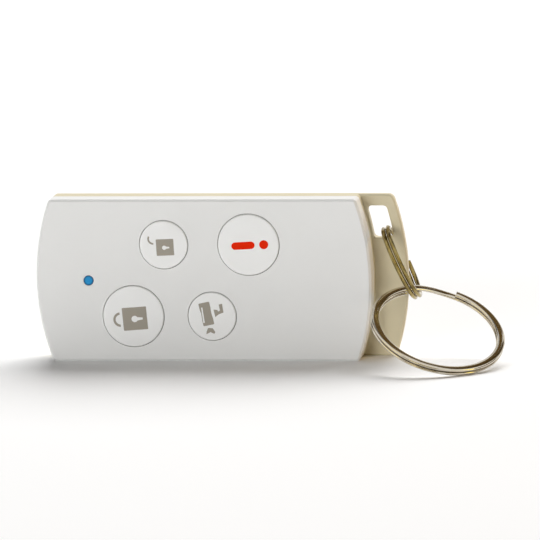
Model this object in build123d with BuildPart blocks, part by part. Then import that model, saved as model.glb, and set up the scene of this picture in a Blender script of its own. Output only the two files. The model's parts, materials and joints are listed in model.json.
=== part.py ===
from build123d import *
import os
from math import asin, atan2, cos, degrees, hypot, radians, sin, sqrt

# Alarm key fob: a thin two-part case with four round keys, a status light, a board with
# its switches and coin cell, and two steel split rings linked through a slot in the case.
# It stands on its long lower edge: X along the length, the face towards -Y, Z up.
# The origin is on the surface that it stands on, under the middle of the cover.

# Case, outside
cover_length = 62.2
cover_height = 30.0
case_depth = 8.0
skirt_depth = 4.0
light_end_radius = 43.5
ring_end_radius = 45.5
corner_radius = 0.8
face_edge_bevel = 0.4
rear_edge_bevel = 0.7

# Case, inside
face_wall = 1.2
rear_wall = 1.0
side_wall = 1.4
lip_depth = 0.8
lip_thickness = 0.6
lip_clearance = 0.08

# Tongue that carries the rings
tongue_overhang = 6.0
tongue_thickness = 2.25
tongue_end_radius = 46.0
tongue_corner_radius = 1.3
tongue_front_bevel = 0.3
slot_top_wall = 2.1
slot_length = 5.95
slot_left_wall_offset = 0.35
slot_bar_width = 1.9
slot_corner_radius = 0.85
slot_rim_bevel = 0.25

# Keys
arm_key_from_end = 17.95
disarm_key_from_end = 23.95
home_key_from_end = 32.6
panic_key_from_end = 39.7
small_key_diameter = 8.85
key_wall_clearance = 0.565
key_middle_clearance = 0.265
key_gap = 0.16
key_rise = 0.4
key_edge_bevel = 0.35
key_edge_width = 0.3
key_flange_width = 0.6
key_flange_thickness = 0.5
key_stop_gap = 0.05

# Status light
light_from_end = 9.75
light_lens_diameter = 1.86
light_lens_gap = 0.04
light_lens_flange = 0.5
light_lens_flange_thickness = 0.45
light_chip_length = 1.6
light_chip_width = 0.8
light_chip_height = 0.55
light_chip_gap = 0.1

# Board and its parts
board_thickness = 0.8
board_edge_gap = 0.4
board_post_gap = 0.3
switch_size = 4.4
switch_corner = 0.6
switch_height = 1.0
switch_travel = 0.3
plunger_width = 2.0
plunger_seat_depth = 0.5
plunger_bore_gap = 0.05
plunger_floor_gap = 0.05
microcontroller_size = 5.0
microcontroller_height = 0.85
microcontroller_from_end = 20.6
radio_chip_size = 4.0
radio_chip_height = 0.75
radio_chip_from_end = 13.4
radio_chip_drop = 4.6
crystal_length = 3.2
crystal_width = 2.5
crystal_height = 0.7
crystal_rise = 4.9
crystal_corner = 0.5
chip_corner = 0.1
antenna_width = 0.8
antenna_thickness = 0.4
antenna_from_end = 6.2
antenna_reach = 4.6
antenna_post_gap = 1.4
antenna_corner = 1.5

# Coin cell, 20 mm by 2.5 mm, and its contacts
cell_diameter = 20.0
cell_thickness = 2.5
cell_from_ring_end = 16.6
cell_step_width = 0.9
cell_step_depth = 0.35
cell_pocket_gap = 0.25
cell_rib_width = 0.9
cell_rib_half_angle = 36.0
cell_rib_end_gap = 0.35
contact_thickness = 0.15
contact_width = 9.0
contact_corner = 2.6
contact_tail_length = 4.4
contact_tail_width = 2.2
clip_thickness = 0.2
clip_width = 5.0
clip_side_gap = 0.3
clip_foot_wall_gap = 0.5

# Screws, their posts and the board's rests
screw_inset_x = 5.7
screw_inset_z = 4.6
boss_width = 6.6
post_width = 4.2
post_corner = 0.9
post_join_gap = 0.05
rest_width = 2.6
screw_shank_diameter = 2.0
screw_shank_gap = 0.1
screw_bite_gap = 0.02
screw_head_diameter = 3.2
screw_head_height = 1.1
screw_head_bevel = 0.25
screw_head_gap = 0.1
screw_head_sink = 0.2
screw_tip_gap = 0.3
screw_slot_length = 1.9
screw_slot_width = 0.4
screw_slot_depth = 0.5

# Split rings
small_ring_diameter = 14.6
small_wire_width = 1.0
small_wire_thickness = 0.8
large_ring_diameter = 25.0
large_wire_width = 1.5
large_wire_thickness = 0.65
turn_gap = 0.1
wire_edge_share = 0.36
small_ring_jog_span = 18.0
large_ring_jog_span = 40.0
wire_end_angle = 4.0
slot_wire_side_gap = 0.12
slot_wire_seat_rise = 0.57
ring_link_gap = 0.35

# Angles at which the rings hang, in degrees
small_ring_hang = 24.3
small_ring_twist = -5.5
small_ring_slot_angle = 20.7
small_ring_link_angle = 12.0
small_ring_jog_place = 95.0
large_ring_heading = -53.0
large_ring_link_angle = -3.0
large_ring_jog_lead = 16.0

# One overrun for cuts that pass through a face
overrun = 1.0

# Levels along Y, from the face to the rear
face_y = -case_depth / 2
rear_y = case_depth / 2
parting_y = face_y + skirt_depth
face_inner_y = face_y + face_wall
rear_inner_y = rear_y - rear_wall
tongue_front_y = rear_y - tongue_thickness
tongue_middle_y = rear_y - tongue_thickness / 2
flange_rear_y = face_inner_y + key_flange_thickness
switch_front_y = flange_rear_y + switch_travel + key_stop_gap
board_front_y = switch_front_y + switch_height
board_rear_y = board_front_y + board_thickness
cell_front_y = board_rear_y + contact_thickness
cell_rear_y = cell_front_y + cell_thickness
post_meet_y = board_front_y + post_join_gap

# Places along X and Z
half_length = cover_length / 2
middle_z = cover_height / 2
light_x = -half_length + light_from_end
cell_x = half_length - cell_from_ring_end
post_x = half_length - screw_inset_x
post_places = [(-post_x, screw_inset_z), (post_x, cover_height - screw_inset_z)]
rest_places = [(-post_x, cover_height - screw_inset_z), (post_x, screw_inset_z)]
key_flange_reach = key_gap + key_flange_width
large_flange_diameter = middle_z - side_wall - key_wall_clearance - key_middle_clearance
large_key_diameter = large_flange_diameter - 2 * key_flange_reach
key_row_offset = large_flange_diameter / 2 + key_middle_clearance
keys = {
    "arm": (arm_key_from_end - half_length, middle_z - key_row_offset, large_key_diameter),
    "disarm": (disarm_key_from_end - half_length, middle_z + key_row_offset, small_key_diameter),
    "home": (home_key_from_end - half_length, middle_z - key_row_offset, small_key_diameter),
    "panic": (panic_key_from_end - half_length, middle_z + key_row_offset, large_key_diameter),
}


def upright(y):
    """Plane that looks out of the face: its x is the fob's X and its y is the fob's Z."""
    return Plane(origin=(0, y, 0), x_dir=(1, 0, 0), z_dir=(0, -1, 0))


def across(x, z):
    """Plane through a key's or screw's axis: its x is the fob's X and its y is the fob's Y."""
    return Plane(origin=(x, 0, z), x_dir=(1, 0, 0), z_dir=(0, 0, 1))


def along_y(x, z):
    """Axis along the fob's depth."""
    return Axis((x, 0, z), (0, 1, 0))


def arc_fall(radius, height):
    """How far an end arc has fallen back at a height above or below the middle."""
    return radius - sqrt(radius**2 - height**2)


def case_outline(inset):
    """Plan outline of the case with its two curved ends, drawn in from the outside by inset."""
    left = -half_length + arc_fall(light_end_radius, middle_z)
    right = half_length - arc_fall(ring_end_radius, middle_z)
    with BuildSketch(Plane.XY) as outline:
        with BuildLine():
            Line((left, 0), (right, 0))
            ThreePointArc((right, 0), (half_length, middle_z), (right, cover_height))
            Line((right, cover_height), (left, cover_height))
            ThreePointArc((left, cover_height), (-half_length, middle_z), (left, 0))
        make_face()
        fillet(outline.vertices(), corner_radius)
        if inset:
            offset(amount=-inset, mode=Mode.REPLACE)
    return outline.sketch


def tongue_right(z):
    """X of the tongue's outer edge at a height above the floor."""
    return half_length + tongue_overhang - arc_fall(tongue_end_radius, z - middle_z)


def cover_right(z):
    """X of the case's end wall at a height above the floor."""
    return half_length - arc_fall(ring_end_radius, z - middle_z)


# Front cover: a shallow tray with the key holes, the light's hole, screw bosses and board rests
with BuildPart() as front_cover:
    with BuildSketch(upright(parting_y)):
        add(case_outline(0))
    extrude(amount=skirt_depth)
    chamfer(front_cover.faces().sort_by(Axis.Y)[0].edges(), face_edge_bevel)
    with BuildSketch(upright(parting_y)):
        add(case_outline(side_wall))
    extrude(amount=skirt_depth - face_wall, mode=Mode.SUBTRACT)
    with BuildSketch(upright(parting_y + lip_depth)):
        add(case_outline(side_wall - lip_thickness))
        add(case_outline(side_wall), mode=Mode.SUBTRACT)
    extrude(amount=lip_depth)
    with BuildSketch(upright(board_front_y)):
        with Locations(post_places):
            Rectangle(boss_width, boss_width)
        with Locations(rest_places):
            Rectangle(rest_width, rest_width)
        add(case_outline(side_wall / 2), mode=Mode.INTERSECT)
    extrude(amount=board_front_y - face_inner_y)
    with BuildSketch(upright(board_front_y)):
        with Locations(post_places):
            Circle(screw_shank_diameter / 2 + screw_bite_gap)
    extrude(amount=board_front_y - face_inner_y, mode=Mode.SUBTRACT)
    for key_x, key_z, diameter in keys.values():
        with BuildSketch(upright(face_inner_y)):
            with Locations((key_x, key_z)):
                Circle(diameter / 2 + key_gap)
        extrude(amount=face_wall + overrun, mode=Mode.SUBTRACT)
    with BuildSketch(upright(face_inner_y)):
        with Locations((light_x, middle_z)):
            Circle(light_lens_diameter / 2 + light_lens_gap)
    extrude(amount=face_wall + overrun, mode=Mode.SUBTRACT)
front_cover.part.label = "front_cover"

# Rear cover: the other half of the case, with the tongue, its slot, posts and the cell's ribs
with BuildPart() as rear_cover:
    tongue_start_x = half_length - tongue_overhang
    tongue_top_x = tongue_right(cover_height)
    with BuildSketch(upright(rear_y)) as tongue_sketch:
        with BuildLine():
            Line((tongue_start_x, 0), (tongue_top_x, 0))
            ThreePointArc((tongue_top_x, 0), (tongue_right(middle_z), middle_z), (tongue_top_x, cover_height))
            Line((tongue_top_x, cover_height), (tongue_start_x, cover_height))
            Line((tongue_start_x, cover_height), (tongue_start_x, 0))
        make_face()
        fillet(tongue_sketch.vertices().group_by(Axis.X)[-1], tongue_corner_radius)
    extrude(amount=tongue_thickness)
    tongue_rim = rear_cover.faces().sort_by(Axis.Y)[0].edges().sort_by(Axis.X)[1:]
    chamfer(tongue_rim, tongue_front_bevel)
    with BuildSketch(upright(rear_y)):
        add(case_outline(0))
    extrude(amount=rear_y - parting_y)
    chamfer(rear_cover.faces().sort_by(Axis.Y)[-1].edges(), rear_edge_bevel)
    slot_top_z = cover_height - slot_top_wall
    slot_bottom_z = slot_top_z - slot_length
    slot_middle_z = slot_top_z - slot_length / 2
    with BuildSketch(upright(rear_y + overrun)) as slot_sketch:
        slot_left = [(cover_right(z) + slot_left_wall_offset, z) for z in (slot_bottom_z, slot_middle_z, slot_top_z)]
        slot_right = [(tongue_right(z) - slot_bar_width, z) for z in (slot_top_z, slot_middle_z, slot_bottom_z)]
        with BuildLine():
            ThreePointArc(*slot_left)
            Line(slot_left[-1], slot_right[0])
            ThreePointArc(*slot_right)
            Line(slot_right[-1], slot_left[0])
        make_face()
        fillet(slot_sketch.vertices(), slot_corner_radius)
    extrude(amount=tongue_thickness + overrun * 2, mode=Mode.SUBTRACT)
    for rim_y in (tongue_front_y, rear_y):
        rim_face = rear_cover.faces().filter_by(Axis.Y).sort_by_distance((tongue_right(0), rim_y, middle_z))[0]
        chamfer(rim_face.inner_wires()[0].edges(), slot_rim_bevel)
    with BuildSketch(upright(rear_inner_y)):
        add(case_outline(side_wall))
    extrude(amount=rear_inner_y - parting_y + overrun, mode=Mode.SUBTRACT)
    with BuildSketch(upright(parting_y + lip_depth + lip_clearance)):
        add(case_outline(side_wall - lip_thickness - lip_clearance))
    extrude(amount=lip_depth + lip_clearance + overrun, mode=Mode.SUBTRACT)
    with BuildSketch(upright(rear_inner_y)) as posts:
        with Locations(post_places):
            Rectangle(post_width, post_width)
        chamfer(posts.vertices(), post_corner)
    extrude(amount=rear_inner_y - post_meet_y)
    cell_rib_inner = cell_diameter / 2 + cell_pocket_gap
    with BuildSketch(upright(rear_inner_y)):
        for side in (0, 180):
            with BuildLine():
                inner_rib = CenterArc((cell_x, middle_z), cell_rib_inner, side - cell_rib_half_angle,
                                      2 * cell_rib_half_angle)
                outer_rib = CenterArc((cell_x, middle_z), cell_rib_inner + cell_rib_width,
                                      side - cell_rib_half_angle, 2 * cell_rib_half_angle)
                Line(inner_rib @ 0, outer_rib @ 0)
                Line(inner_rib @ 1, outer_rib @ 1)
            make_face()
    extrude(amount=rear_inner_y - board_rear_y - cell_rib_end_gap)
    with BuildSketch(upright(rear_y)):
        with Locations(post_places):
            Circle(screw_shank_diameter / 2 + screw_shank_gap)
    extrude(amount=rear_y - post_meet_y + overrun, mode=Mode.SUBTRACT)
    with BuildSketch(upright(rear_y)):
        with Locations(post_places):
            Circle(screw_head_diameter / 2 + screw_head_gap)
    extrude(amount=screw_head_height + screw_head_sink, mode=Mode.SUBTRACT)
rear_cover.part.label = "rear_cover"


def key_cap(x, z, diameter):
    """One moulded keycap: bevelled top, skirt in its hole and a flange behind the face."""
    radius = diameter / 2
    flange_radius = radius + key_flange_reach
    top_y = face_y - key_rise
    with BuildPart() as cap:
        with BuildSketch(across(x, z)):
            with BuildLine():
                Polyline(
                    (0, flange_rear_y),
                    (flange_radius, flange_rear_y),
                    (flange_radius, face_inner_y),
                    (radius, face_inner_y),
                    (radius, top_y + key_edge_bevel),
                    (radius - key_edge_width, top_y),
                    (0, top_y),
                    close=True,
                )
            make_face()
        revolve(axis=along_y(x, z))
    return cap.part


def switch_body(x, z):
    """Low tactile switch: a square block with clipped corners and the plunger's well."""
    with BuildPart() as body:
        with BuildSketch(upright(board_front_y)) as block:
            with Locations((x, z)):
                Rectangle(switch_size, switch_size)
            chamfer(block.vertices(), switch_corner)
        extrude(amount=switch_height)
        with BuildSketch(upright(switch_front_y + plunger_seat_depth)):
            with Locations((x, z)):
                bore_width = plunger_width + 2 * plunger_bore_gap
                Rectangle(bore_width, bore_width)
        extrude(amount=plunger_seat_depth + overrun, mode=Mode.SUBTRACT)
    return body.part


def switch_plunger(x, z):
    """Square plunger that stands out of its switch and meets the key's flange."""
    plunger_rear_y = switch_front_y + plunger_seat_depth - switch_travel - plunger_floor_gap
    with BuildPart() as plunger:
        with BuildSketch(upright(plunger_rear_y)):
            with Locations((x, z)):
                Rectangle(plunger_width, plunger_width)
        extrude(amount=plunger_rear_y - flange_rear_y)
    return plunger.part


key_nodes = []
for name, (key_x, key_z, diameter) in keys.items():
    parts = {
        f"{name}_button": key_cap(key_x, key_z, diameter),
        f"{name}_switch": switch_body(key_x, key_z),
        f"{name}_switch_plunger": switch_plunger(key_x, key_z),
    }
    for node, solid in parts.items():
        solid.label = node
        key_nodes.append(solid)

# Light lens: a clear rod in the face with a square flange behind it
lens_radius = light_lens_diameter / 2
lens_end_y = board_front_y - light_chip_height - light_chip_gap
with BuildPart() as led_lens:
    with BuildSketch(upright(lens_end_y)):
        with Locations((light_x, middle_z)):
            Circle(lens_radius)
    extrude(amount=lens_end_y - face_y)
    with BuildSketch(upright(face_inner_y + light_lens_flange_thickness)):
        with Locations((light_x, middle_z)):
            Rectangle(light_lens_diameter + 2 * light_lens_flange, light_lens_diameter + 2 * light_lens_flange)
    extrude(amount=light_lens_flange_thickness)
led_lens.part.label = "led_lens"

# Light chip on the board, under its lens
with BuildPart() as led:
    with BuildSketch(upright(board_front_y)):
        with Locations((light_x, middle_z)):
            Rectangle(light_chip_length, light_chip_width)
    extrude(amount=light_chip_height)
led.part.label = "led"

# Circuit board, with two corners cut away for the posts
board_cut = post_width / 2 + board_post_gap
with BuildPart() as circuit_board:
    with BuildSketch(upright(board_rear_y)):
        add(case_outline(side_wall + board_edge_gap))
        with Locations((-half_length, 0), (half_length, cover_height)):
            Rectangle(2 * (screw_inset_x + board_cut), 2 * (screw_inset_z + board_cut), mode=Mode.SUBTRACT)
    extrude(amount=board_thickness)
circuit_board.part.label = "circuit_board"


def flat_chip(x, z, size_x, size_z, height):
    """Chip on the rear of the board, with clipped corners."""
    with BuildPart() as chip:
        with BuildSketch(upright(board_rear_y + height)) as body:
            with Locations((x, z)):
                Rectangle(size_x, size_z)
            chamfer(body.vertices(), chip_corner)
        extrude(amount=height)
    return chip.part


microcontroller = flat_chip(microcontroller_from_end - half_length, middle_z, microcontroller_size,
                            microcontroller_size, microcontroller_height)
microcontroller.label = "microcontroller"
radio_chip = flat_chip(radio_chip_from_end - half_length, middle_z - radio_chip_drop, radio_chip_size,
                       radio_chip_size, radio_chip_height)
radio_chip.label = "radio_chip"

# Crystal can, with clipped corners
with BuildPart() as crystal:
    with BuildSketch(upright(board_rear_y + crystal_height)) as can:
        with Locations((radio_chip_from_end - half_length, middle_z + crystal_rise)):
            Rectangle(crystal_length, crystal_width)
        chamfer(can.vertices(), crystal_corner)
    extrude(amount=crystal_height)
crystal.part.label = "crystal"

# Loop antenna: a flat strip in a U with clipped corners on the board, round the light's end
antenna_x = -half_length + antenna_from_end
antenna_bottom_z = screw_inset_z + post_width / 2 + antenna_post_gap + antenna_width / 2
antenna_top_z = cover_height - antenna_bottom_z
with BuildPart() as loop_antenna:
    with BuildSketch(upright(board_rear_y + antenna_thickness)) as strip:
        with BuildLine() as route:
            Polyline(
                (antenna_x + antenna_reach, antenna_top_z),
                (antenna_x + antenna_corner, antenna_top_z),
                (antenna_x, antenna_top_z - antenna_corner),
                (antenna_x, antenna_bottom_z + antenna_corner),
                (antenna_x + antenna_corner, antenna_bottom_z),
                (antenna_x + antenna_reach, antenna_bottom_z),
            )
            offset(amount=antenna_width / 2, kind=Kind.INTERSECTION, mode=Mode.REPLACE)
        make_face()
    extrude(amount=antenna_thickness)
loop_antenna.part.label = "loop_antenna"

# Coin cell: a can with its stepped negative cap towards the board
with BuildPart() as coin_cell:
    with BuildSketch(across(cell_x, middle_z)):
        with BuildLine():
            Polyline(
                (0, cell_front_y),
                (cell_diameter / 2 - cell_step_width, cell_front_y),
                (cell_diameter / 2 - cell_step_width, cell_front_y + cell_step_depth),
                (cell_diameter / 2, cell_front_y + cell_step_depth),
                (cell_diameter / 2, cell_rear_y),
                (0, cell_rear_y),
                close=True,
            )
        make_face()
    revolve(axis=along_y(cell_x, middle_z))
coin_cell.part.label = "coin_cell"

# Negative contact: a plate with clipped corners and a tail, flat on the board under the cell
with BuildPart() as battery_contact:
    with BuildSketch(upright(cell_front_y)) as plate:
        with Locations((cell_x, middle_z)):
            Rectangle(contact_width, contact_width)
        chamfer(plate.vertices(), contact_corner)
        with Locations((cell_x - contact_width / 2 - contact_tail_length / 2, middle_z)):
            Rectangle(contact_tail_length + contact_width / 2, contact_tail_width)
    extrude(amount=contact_thickness)
battery_contact.part.label = "battery_contact"

# Positive clip: a strap over the cell with two legs and feet on the board
clip_half_span = cell_diameter / 2 + clip_side_gap
clip_foot_end = middle_z - side_wall - clip_foot_wall_gap
clip_top_y = cell_rear_y + clip_thickness
clip_plane = Plane(origin=(cell_x - clip_width / 2, 0, middle_z), x_dir=(0, 1, 0), z_dir=(1, 0, 0))
with BuildPart() as battery_clip:
    with BuildSketch(clip_plane):
        with BuildLine():
            Polyline(
                (board_rear_y, -clip_foot_end),
                (board_rear_y, -clip_half_span),
                (cell_rear_y, -clip_half_span),
                (cell_rear_y, clip_half_span),
                (board_rear_y, clip_half_span),
                (board_rear_y, clip_foot_end),
                (board_rear_y + clip_thickness, clip_foot_end),
                (board_rear_y + clip_thickness, clip_half_span + clip_thickness),
                (clip_top_y, clip_half_span + clip_thickness),
                (clip_top_y, -clip_half_span - clip_thickness),
                (board_rear_y + clip_thickness, -clip_half_span - clip_thickness),
                (board_rear_y + clip_thickness, -clip_foot_end),
                close=True,
            )
        make_face()
    extrude(amount=clip_width)
battery_clip.part.label = "battery_clip"

# Case screws: two alike, from the rear, with a cross recess
head_seat_y = rear_y - screw_head_height - screw_head_sink
head_top_y = rear_y - screw_head_sink
shank_end_y = face_inner_y + screw_tip_gap
with BuildPart() as case_screws:
    for screw_x, screw_z in post_places:
        with BuildSketch(across(screw_x, screw_z)):
            with BuildLine():
                Polyline(
                    (0, shank_end_y),
                    (screw_shank_diameter / 2, shank_end_y),
                    (screw_shank_diameter / 2, head_seat_y),
                    (screw_head_diameter / 2, head_seat_y),
                    (screw_head_diameter / 2, head_top_y - screw_head_bevel),
                    (screw_head_diameter / 2 - screw_head_bevel, head_top_y),
                    (0, head_top_y),
                    close=True,
                )
            make_face()
        revolve(axis=along_y(screw_x, screw_z))
    with BuildSketch(upright(head_top_y)):
        with Locations(post_places):
            Rectangle(screw_slot_length, screw_slot_width)
            Rectangle(screw_slot_width, screw_slot_length)
    extrude(amount=screw_slot_depth, mode=Mode.SUBTRACT)
case_screws.part.label = "case_screws"


def jog_rise(share):
    """Height in a jog, as a share of its half rise, at a share of its half span from its middle."""
    return share * (3 - share**2) / 2


def split_ring(centre, normal, start, diameter, width, thickness, jog_at, jog_span):
    """Split ring: two turns of flat six-sided wire, one jog between them and its ends beside the jog."""
    frame = Plane(origin=centre, x_dir=start, z_dir=normal)
    middle_radius = diameter / 2 - width / 2
    level = (thickness + turn_gap) / 2
    edge = wire_edge_share * thickness
    wire_outline = [
        (-width / 2, 0), (edge - width / 2, -thickness / 2), (width / 2 - edge, -thickness / 2),
        (width / 2, 0), (width / 2 - edge, thickness / 2), (edge - width / 2, thickness / 2),
    ]

    def section(angle, height):
        """Plane square to the wire at an angle round the ring and a height above its middle."""
        turn = radians(jog_at + angle)
        outward = frame.x_dir * cos(turn) + frame.y_dir * sin(turn)
        along = frame.y_dir * cos(turn) - frame.x_dir * sin(turn)
        return Plane(origin=centre + outward * middle_radius + normal * height, x_dir=outward, z_dir=along)

    turn_arc = 360 - jog_span - wire_end_angle
    with BuildPart() as ring:
        with BuildSketch(section(jog_span / 2, level)):
            Polygon(wire_outline, align=None)
        revolve(axis=Axis(centre, normal), revolution_arc=turn_arc)
        with BuildSketch(section(jog_span / 2 + wire_end_angle, -level)):
            Polygon(wire_outline, align=None)
        revolve(axis=Axis(centre, normal), revolution_arc=turn_arc)
        for share in (-1, -2 / 3, -1 / 3, 0, 1 / 3, 2 / 3, 1):
            with BuildSketch(section(share * jog_span / 2, level * jog_rise(share))):
                Polygon(wire_outline, align=None)
        loft(ruled=True)
    return ring.part


# Small ring: through the slot, round the tongue's outer bar, hanging down and out
hang = radians(small_ring_hang)
twist = radians(small_ring_twist)
hang_dir = Vector(sin(hang), 0, -cos(hang))
small_normal = Vector(cos(hang) * cos(twist), -sin(twist), sin(hang) * cos(twist))
small_depth_dir = Vector(cos(hang) * sin(twist), cos(twist), sin(hang) * sin(twist))
small_stack = small_wire_thickness * 2 + turn_gap
small_middle_radius = small_ring_diameter / 2 - small_wire_width / 2
slot_wire_reach_x = small_stack / 2 * small_normal.X + small_wire_width / 2 * hang_dir.X
slot_wire_reach_z = small_stack / 2 * small_normal.Z - small_wire_width / 2 * hang_dir.Z
slot_wire_z = slot_bottom_z + slot_wire_reach_z + slot_wire_seat_rise
slot_wire_x = tongue_right(slot_wire_z) - slot_bar_width - slot_wire_reach_x - slot_wire_side_gap
slot_wire = Vector(slot_wire_x, tongue_middle_y, slot_wire_z)
slot_angle = radians(small_ring_slot_angle)
small_centre = slot_wire + (hang_dir * cos(slot_angle) - small_depth_dir * sin(slot_angle)) * small_middle_radius
small_split_ring = split_ring(small_centre, small_normal, hang_dir, small_ring_diameter, small_wire_width,
                              small_wire_thickness, small_ring_jog_place, small_ring_jog_span)
small_split_ring.label = "small_split_ring"

# Large ring: its jog is linked through the small one near its foot, and it leans out to the floor
link_angle = radians(small_ring_link_angle)
large_stack = large_wire_thickness * 2 + turn_gap
large_middle_radius = large_ring_diameter / 2 - large_wire_width / 2
link_radius = small_ring_diameter / 2 - small_wire_width - ring_link_gap - large_wire_width / 2
link_point = small_centre + (hang_dir * cos(link_angle) - small_depth_dir * sin(link_angle)) * link_radius
link_share = min(large_ring_jog_lead / (large_ring_jog_span / 2), 1)
link_level = (large_wire_thickness + turn_gap) / 2 * jog_rise(link_share)
round_angle = radians(large_ring_link_angle)
heading = radians(large_ring_heading)
ring_foot = large_ring_diameter / 2 - wire_edge_share * large_wire_thickness
ring_reach = ring_foot + large_middle_radius * cos(round_angle)
ring_drop = large_stack / 2 + link_level
ring_slope = asin(link_point.Z / hypot(ring_reach, ring_drop)) - atan2(ring_drop, ring_reach)
large_normal = Vector(sin(ring_slope) * cos(heading), sin(ring_slope) * sin(heading), cos(ring_slope))
uphill = Vector(-cos(ring_slope) * cos(heading), -cos(ring_slope) * sin(heading), sin(ring_slope))
level_dir = Vector(sin(heading), -cos(heading), 0)
link_reach = (uphill * cos(round_angle) + level_dir * sin(round_angle)) * large_middle_radius
large_centre = link_point - link_reach - large_normal * link_level
large_ring_jog_place = large_ring_link_angle - large_ring_jog_lead
large_split_ring = split_ring(large_centre, large_normal, uphill, large_ring_diameter, large_wire_width,
                              large_wire_thickness, large_ring_jog_place, large_ring_jog_span)
large_split_ring.label = "large_split_ring"

print("slot wire", slot_wire, "axis", small_depth_dir * cos(slot_angle) + hang_dir * sin(slot_angle))
print("small ring", small_centre, small_normal)
print("link", link_point, "axis", level_dir * cos(round_angle) - uphill * sin(round_angle))
print("large ring", large_centre, large_normal, "slope", degrees(ring_slope))
print("gap between a ring's turns", turn_gap, "mm")

os.makedirs("parts", exist_ok=True)
case_nodes = [front_cover, rear_cover, led_lens, led, circuit_board, crystal, loop_antenna, coin_cell,
              battery_contact, battery_clip, case_screws]
solids = [node.part for node in case_nodes] + key_nodes
solids += [microcontroller, radio_chip, small_split_ring, large_split_ring]
for solid in solids:
    export_step(solid, f"parts/{solid.label}.step")
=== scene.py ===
"""Looks of the alarm key fob: moulded covers, glossy keys with printed pictograms, nickel split rings.

Every size in this file is in millimetres unless its name says otherwise. X runs along the fob
towards its rings, the face looks towards -Y and Z is up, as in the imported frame.
"""

import json
import logging
from collections.abc import Iterable, Sequence
from dataclasses import dataclass, field
from enum import Enum
from math import atan2, cos, floor, pi, radians, sin, sqrt

import bmesh
import bpy
from mathutils import Matrix, Vector
from mathutils.geometry import delaunay_2d_cdt

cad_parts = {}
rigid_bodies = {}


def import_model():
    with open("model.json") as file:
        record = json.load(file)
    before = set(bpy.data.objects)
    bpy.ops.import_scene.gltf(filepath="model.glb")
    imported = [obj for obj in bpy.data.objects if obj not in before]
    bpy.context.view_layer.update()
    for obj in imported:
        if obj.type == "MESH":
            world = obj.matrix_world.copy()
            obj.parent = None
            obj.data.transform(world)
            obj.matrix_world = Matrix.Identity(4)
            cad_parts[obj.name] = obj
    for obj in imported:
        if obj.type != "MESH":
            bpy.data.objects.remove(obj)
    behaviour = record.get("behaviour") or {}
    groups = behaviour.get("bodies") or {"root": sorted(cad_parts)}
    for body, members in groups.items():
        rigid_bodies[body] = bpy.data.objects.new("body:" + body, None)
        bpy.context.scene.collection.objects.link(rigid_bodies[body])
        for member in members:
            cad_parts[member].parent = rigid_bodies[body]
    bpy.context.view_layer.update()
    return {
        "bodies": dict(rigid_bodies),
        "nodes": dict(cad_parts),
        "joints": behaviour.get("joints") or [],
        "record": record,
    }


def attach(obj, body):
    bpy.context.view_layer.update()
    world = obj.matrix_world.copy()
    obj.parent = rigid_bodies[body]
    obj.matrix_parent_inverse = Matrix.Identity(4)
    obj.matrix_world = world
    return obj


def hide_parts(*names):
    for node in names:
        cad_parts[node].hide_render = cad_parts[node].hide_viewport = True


LOG = logging.getLogger("key_fob")
MM = 0.001
Point = tuple[float, float]
Colour = tuple[float, float, float, float]
WHITE = "#FFFFFF"
# Numbers of a Mix node's sockets for colours: its share, its two inputs and its output
MIX_SHARE, MIX_A, MIX_B, MIX_OUT = 0, 6, 7, 2


# ---- Small helpers

def srgb(code: str) -> Colour:
    """Turn an sRGB hex colour into the linear values that shaders use.

    Args:
        code: Six hex digits after a hash sign.

    Returns:
        Linear red, green and blue, and an alpha of 1.
    """
    channels = [int(code[start:start + 2], 16) / 255 for start in (1, 3, 5)]
    linear = [c / 12.92 if c <= 0.04045 else ((c + 0.055) / 1.055) ** 2.4 for c in channels]
    return (linear[0], linear[1], linear[2], 1.0)


def add_node(tree: bpy.types.NodeTree, kind: str, settings: dict | None = None,
             links: dict | None = None) -> bpy.types.Node:
    """Add one node, set its values and link its inputs.

    Args:
        tree: The tree that takes the node.
        kind: The node's type name.
        settings: Values by the name of a property or by the name or number of an input.
        links: Output sockets by the name or number of the input that they feed.

    Returns:
        The new node.
    """
    node = tree.nodes.new(kind)
    for name, value in (settings or {}).items():
        if isinstance(name, int) or name in node.inputs:
            node.inputs[name].default_value = value
        else:
            setattr(node, name, value)
    for name, source in (links or {}).items():
        tree.links.new(source, node.inputs[name])
    return node


def mesh_object(name: str, shape: bmesh.types.BMesh, sharp_deg: float = 35.0) -> bpy.types.Object:
    """Make an object in the scene from a finished shape in metres.

    Args:
        name: Name of the object and its mesh.
        shape: The shape, which is freed here.
        sharp_deg: Edges that turn more than this stay sharp.

    Returns:
        The new object, at the origin.
    """
    for edge in shape.edges:
        edge.smooth = not (edge.is_manifold and edge.calc_face_angle(0.0) > radians(sharp_deg))
    for face in shape.faces:
        face.smooth = True
    mesh = bpy.data.meshes.new(name)
    shape.to_mesh(mesh)
    shape.free()
    made = bpy.data.objects.new(name, mesh)
    bpy.context.scene.collection.objects.link(made)
    return made


def baked(source: bpy.types.Object, name: str) -> bpy.types.Mesh:
    """Turn an object with live modifiers into a plain mesh.

    Args:
        source: The object, whose modifiers are read as they stand.
        name: Name of the new mesh.

    Returns:
        The plain mesh.
    """
    graph = bpy.context.evaluated_depsgraph_get()
    graph.update()
    mesh = bpy.data.meshes.new_from_object(source.evaluated_get(graph), depsgraph=graph)
    mesh.name = name
    return mesh


def dress(piece: bpy.types.Object, material: bpy.types.Material) -> None:
    """Give a piece one material on all of its faces.

    Args:
        piece: The piece.
        material: Its material.
    """
    piece.data.materials.clear()
    piece.data.materials.append(material)


def blank_material(name: str) -> tuple[bpy.types.Material, bpy.types.NodeTree]:
    """Make a material with an empty node tree.

    Args:
        name: The material's name.

    Returns:
        The material and its tree.
    """
    made = bpy.data.materials.new(name)
    made.use_nodes = True
    made.node_tree.nodes.clear()
    return made, made.node_tree


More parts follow.
